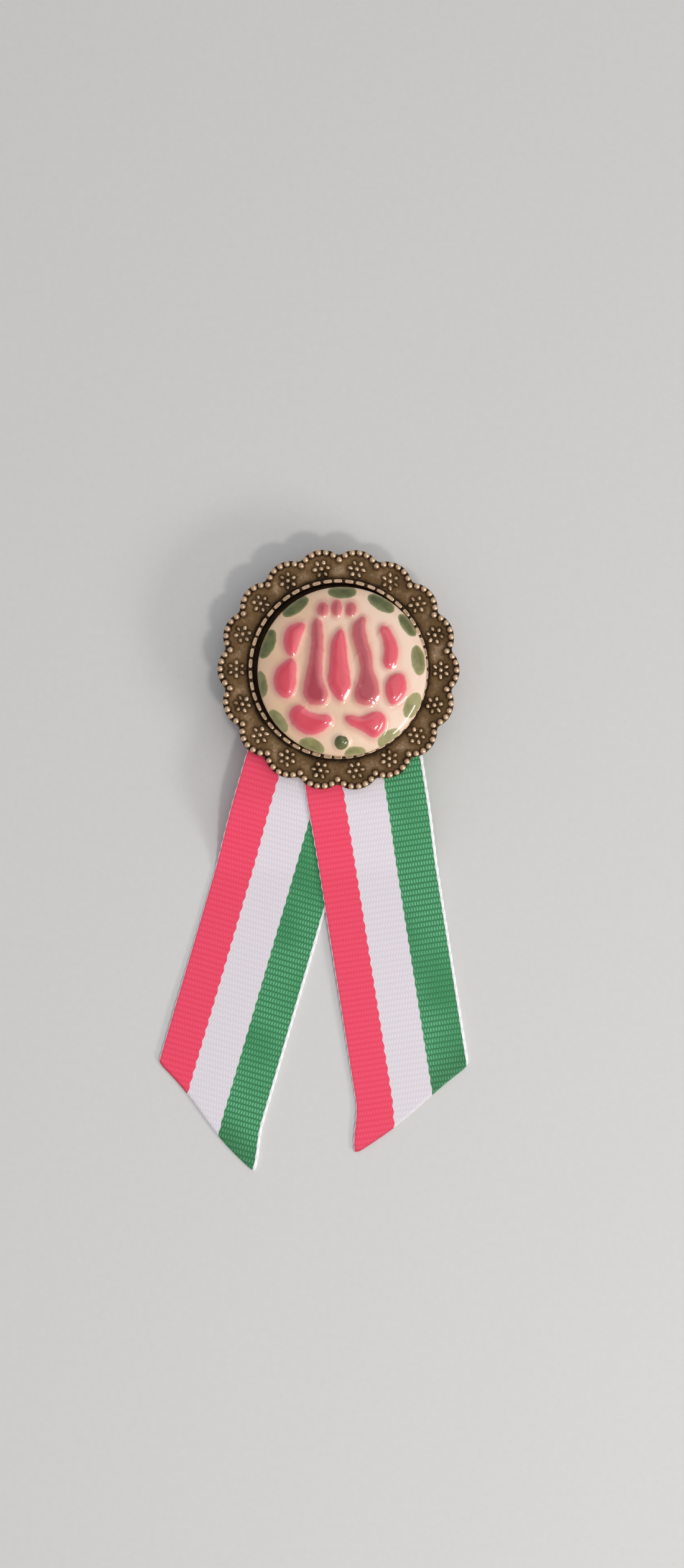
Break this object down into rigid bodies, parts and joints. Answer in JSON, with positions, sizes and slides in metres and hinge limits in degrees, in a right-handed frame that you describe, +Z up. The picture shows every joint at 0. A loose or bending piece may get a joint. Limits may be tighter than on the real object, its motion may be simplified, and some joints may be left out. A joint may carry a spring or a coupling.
{
  "type": "award ribbon",
  "caption": "Pin-on award ribbon: glazed ceramic cabochon in a scalloped bronze tray over a folded three-stripe ribbon with two tails and a bar pin.",
  "frame": {"origin": "on the plane that the ribbon rests on, below the centre of the bezel tray", "axes": "+Z up out of the face, +Y from the tails towards the medallion's top, +X to the right as seen from the front"},
  "size_m": [0.0528, 0.1037, 0.0121],
  "materials": {
    "antique_bronze": "antiqued, dark in the hollows",
    "cream_glaze": "gloss glaze",
    "red_glaze": "gloss glaze",
    "rose_glaze": "gloss glaze",
    "green_glaze": "gloss glaze",
    "ribbon_weave": "grosgrain, red, white and green stripes",
    "clear_glue": "clear set adhesive",
    "nickel_steel": "nickel plated",
    "brass_roller": "satin"
  },
  "bodies": {
    "medallion": {"bezel_tray": "antique_bronze", "bead_border": "antique_bronze", "flower_relief": "antique_bronze", "collar_pads": "antique_bronze", "cabochon_glue": "clear_glue", "cabochon": "cream_glaze", "centre_petal": "red_glaze", "side_petals": "red_glaze", "lower_petals": "red_glaze", "stamens": "rose_glaze", "crown_ovals": "rose_glaze", "green_dot": "green_glaze", "rim_spots": "green_glaze", "ribbon_fold": "ribbon_weave", "ribbon_glue": "clear_glue", "pin_bar": "nickel_steel", "pin_bar_glue": "clear_glue", "hinge_rivet": "nickel_steel"},
    "lower_tail": {"left_tail": "ribbon_weave", "right_tail_root": "ribbon_weave"},
    "upper_tail": {"right_tail": "ribbon_weave"},
    "stem": {"pin_stem": "nickel_steel"},
    "roller": {"safety_roller": "brass_roller"}
  },
  "joints": [
    {"name": "left_tail_lift", "type": "hinge", "parent": "medallion", "child": "lower_tail", "pos_m": [0, -0.0205, 0.0056], "axis": [-1, 0, 0], "range_deg": [0, 45]},
    {"name": "right_tail_lift", "type": "hinge", "parent": "lower_tail", "child": "upper_tail", "pos_m": [0, -0.027, 0.0038], "axis": [-1, 0, 0], "range_deg": [0, 40]},
    {"name": "pin_stem_swing", "type": "hinge", "parent": "medallion", "child": "stem", "pos_m": [-0.0105, 0, 0.0015], "axis": [0, 1, 0], "range_deg": [0, 95]},
    {"name": "safety_roller_turn", "type": "hinge", "parent": "medallion", "child": "roller", "pos_m": [0.01, 0, 0.0015], "axis": [1, 0, 0], "range_deg": [0, 120]}
  ]
}
